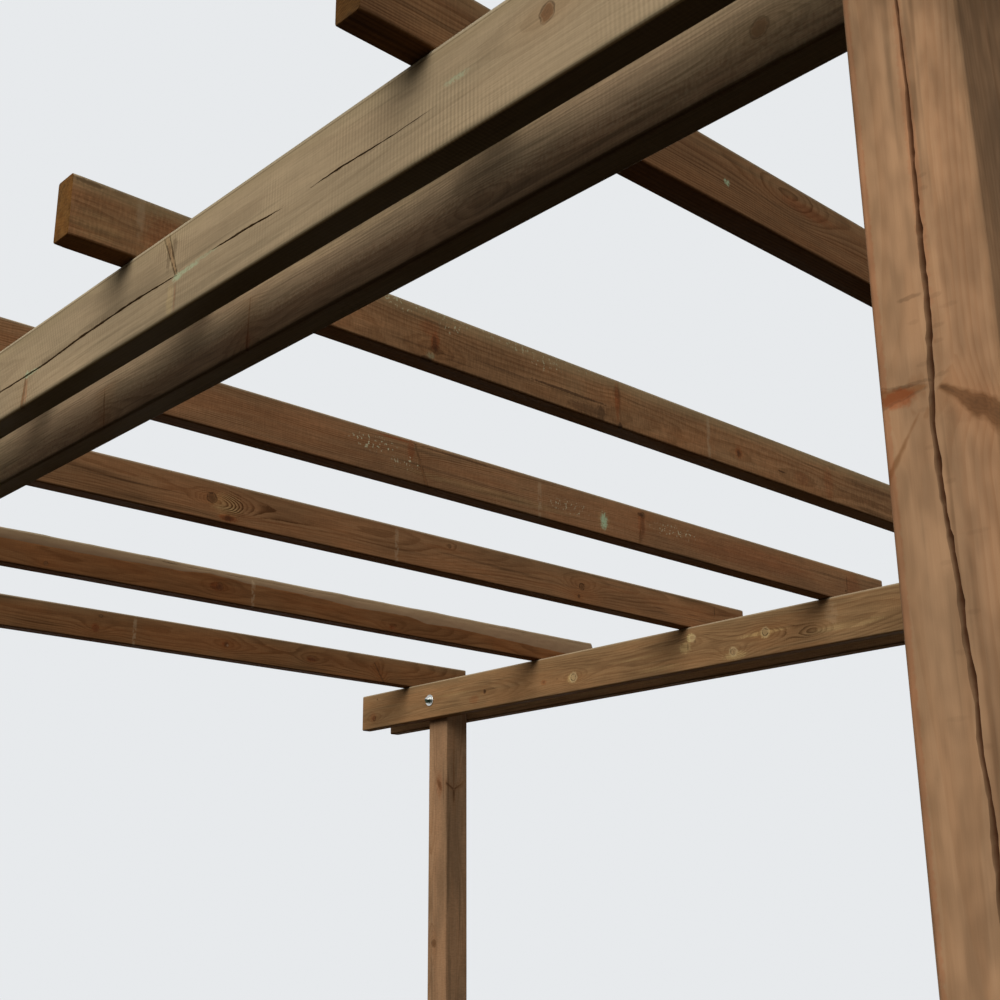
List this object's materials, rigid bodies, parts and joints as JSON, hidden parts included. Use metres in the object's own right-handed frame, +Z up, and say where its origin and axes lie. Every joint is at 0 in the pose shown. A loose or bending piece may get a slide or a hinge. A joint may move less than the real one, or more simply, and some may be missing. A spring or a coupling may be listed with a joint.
{
  "type": "wooden pergola",
  "caption": "Free-standing timber garden pergola: square posts carry doubled beams, bolted across the front and back, with open rafters laid over them.",
  "frame": {"origin": "on the ground, in the middle of the four posts", "axes": "+X along the beams to the right, +Y along the rafters to the back, +Z up; the front faces -Y"},
  "size_m": [3.86, 2.586, 2.408],
  "materials": {
    "post_timber": "planed, dry, weathered",
    "beam_timber": "planed, dry, weathered",
    "rafter_timber": "planed, dry, weathered",
    "zinc_plated_steel": "zinc plated"
  },
  "bodies": {
    "root": {"post_front_left": "post_timber", "post_front_right": "post_timber", "post_back_left": "post_timber", "post_back_right": "post_timber", "beam_front_outer": "beam_timber", "beam_front_inner": "beam_timber", "beam_back_inner": "beam_timber", "beam_back_outer": "beam_timber", "rafter_1": "rafter_timber", "rafter_2": "rafter_timber", "rafter_3": "rafter_timber", "rafter_4": "rafter_timber", "rafter_5": "rafter_timber", "rafter_6": "rafter_timber", "rafter_7": "rafter_timber"}
  },
  "joints": []
}
